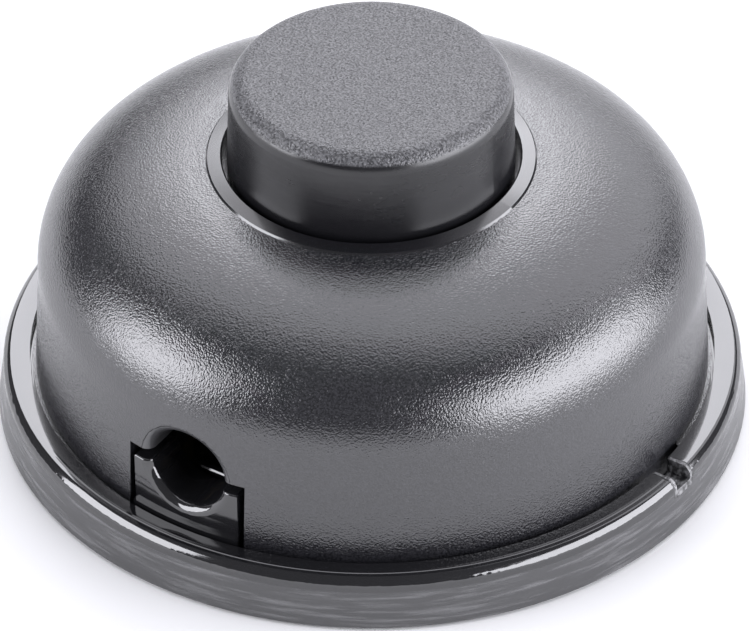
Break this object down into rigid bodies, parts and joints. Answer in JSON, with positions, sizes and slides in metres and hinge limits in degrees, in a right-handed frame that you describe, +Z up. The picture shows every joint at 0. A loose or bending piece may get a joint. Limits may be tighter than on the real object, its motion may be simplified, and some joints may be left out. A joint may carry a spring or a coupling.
{
  "type": "in-line foot switch",
  "caption": "Round in-line foot switch with a domed cover, a push button in its centre and a cord entry at each end.",
  "frame": {"origin": "on the floor under the centre of the round base", "axes": "+Z up through the button, -Y out of the front cord entry, +X across to the pry notch side"},
  "size_m": [0.066, 0.066, 0.0338],
  "materials": {
    "gloss_black": "glossy",
    "grained_black": "fine grain",
    "button_black": "fine grain on top, satin side",
    "rubber_pad": "matt",
    "natural_plastic": "satin",
    "grey_plastic": "smooth",
    "spring_steel": "drawn",
    "contact_brass": "rolled",
    "terminal_brass": "machined",
    "screw_steel": "zinc plated",
    "clamp_black": "satin"
  },
  "bodies": {
    "housing": {"base_plate": "gloss_black", "dome_cover": "grained_black", "foot_pad_1": "rubber_pad", "foot_pad_2": "rubber_pad", "foot_pad_3": "rubber_pad", "foot_pad_4": "rubber_pad", "switch_body": "natural_plastic", "switch_lid": "natural_plastic", "return_spring": "spring_steel", "rotor_pin": "spring_steel", "contact_strip_front": "contact_brass", "contact_strip_rear": "contact_brass", "live_terminal_front": "terminal_brass", "live_terminal_rear": "terminal_brass", "neutral_terminal": "terminal_brass", "earth_terminal": "terminal_brass", "live_screw_front": "screw_steel", "live_screw_rear": "screw_steel", "neutral_screw_front": "screw_steel", "neutral_screw_rear": "screw_steel", "earth_screw_front": "screw_steel", "earth_screw_rear": "screw_steel", "clamp_screw_front_left": "screw_steel", "clamp_screw_front_right": "screw_steel", "clamp_screw_rear_left": "screw_steel", "clamp_screw_rear_right": "screw_steel", "body_screw_left": "screw_steel", "body_screw_right": "screw_steel", "cord_clamp_front": "clamp_black", "cord_clamp_rear": "clamp_black"},
    "button": {"push_button": "button_black", "drive_plunger": "grey_plastic"},
    "rotor": {"ratchet_rotor": "grey_plastic", "contact_bridge": "contact_brass"}
  },
  "joints": [
    {"name": "button_press", "type": "slide", "parent": "housing", "child": "button", "axis": [0, 0, -1], "range_m": [0, 0.004], "stiffness_N_per_m": 2500, "springref_m": -0.004, "deforming": ["return_spring"]},
    {"name": "rotor_turn", "type": "hinge", "parent": "housing", "child": "rotor", "pos_m": [0, 0, 0.01], "axis": [0, 0, 1], "range_deg": [0, 45.01]}
  ],
  "couplings": [
    {"joint": "rotor_turn", "follows": "button_press", "rad_per_m": 196.35}
  ]
}
